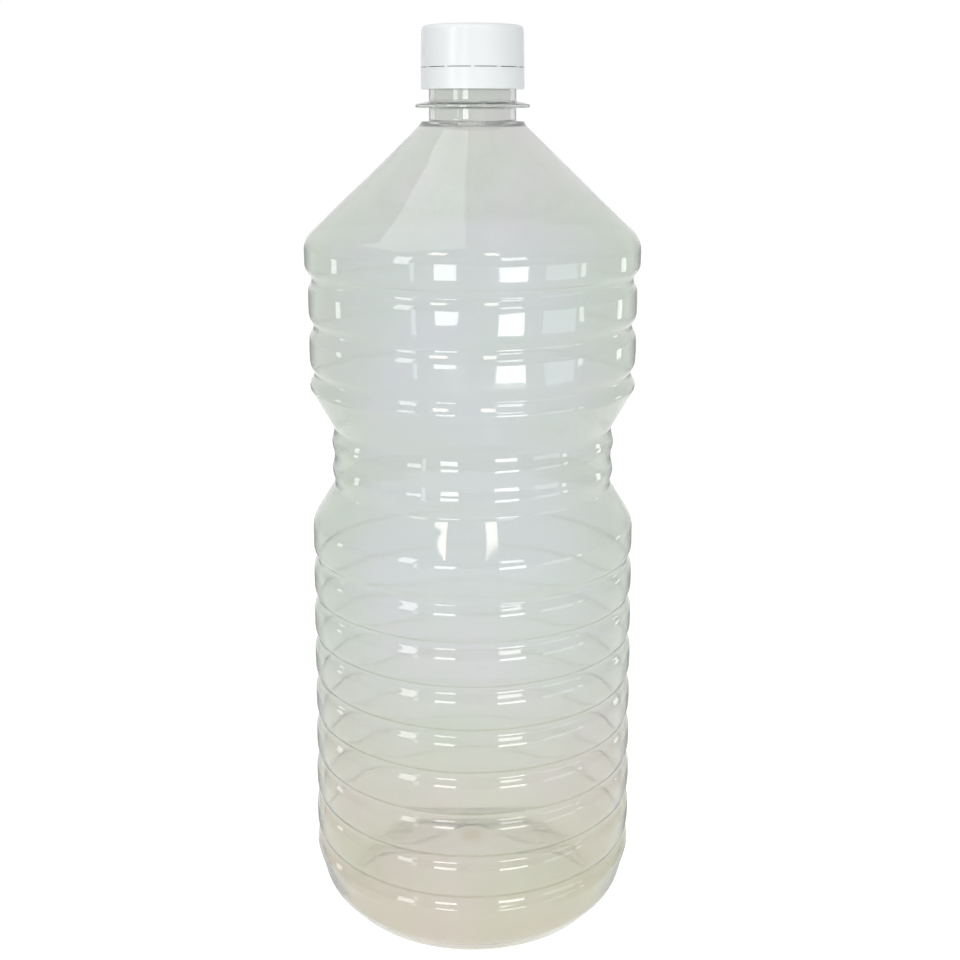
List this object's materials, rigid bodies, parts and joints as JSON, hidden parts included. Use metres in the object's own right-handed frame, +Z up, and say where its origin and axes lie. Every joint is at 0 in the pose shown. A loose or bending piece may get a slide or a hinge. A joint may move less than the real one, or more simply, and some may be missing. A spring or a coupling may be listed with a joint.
{
  "type": "plastic bottle",
  "caption": "Empty clear plastic drink bottle with sunk rings, a narrow grip, a coned shoulder, a flanged neck and a white screw cap with tamper band.",
  "frame": {"origin": "on the ground under the middle of the bottle", "axes": "+Z up along the bottle's axis, -Y towards the viewer; the bottle is round, so X and Y are alike"},
  "size_m": [0.0996, 0.0996, 0.2664],
  "materials": {
    "clear_plastic": "clear, colourless, thin blown wall, glossy inside and out",
    "white_plastic": "satin moulded plastic, white, slightly translucent"
  },
  "bodies": {
    "root": {"bottle": "clear_plastic", "closure": "white_plastic"}
  },
  "joints": []
}
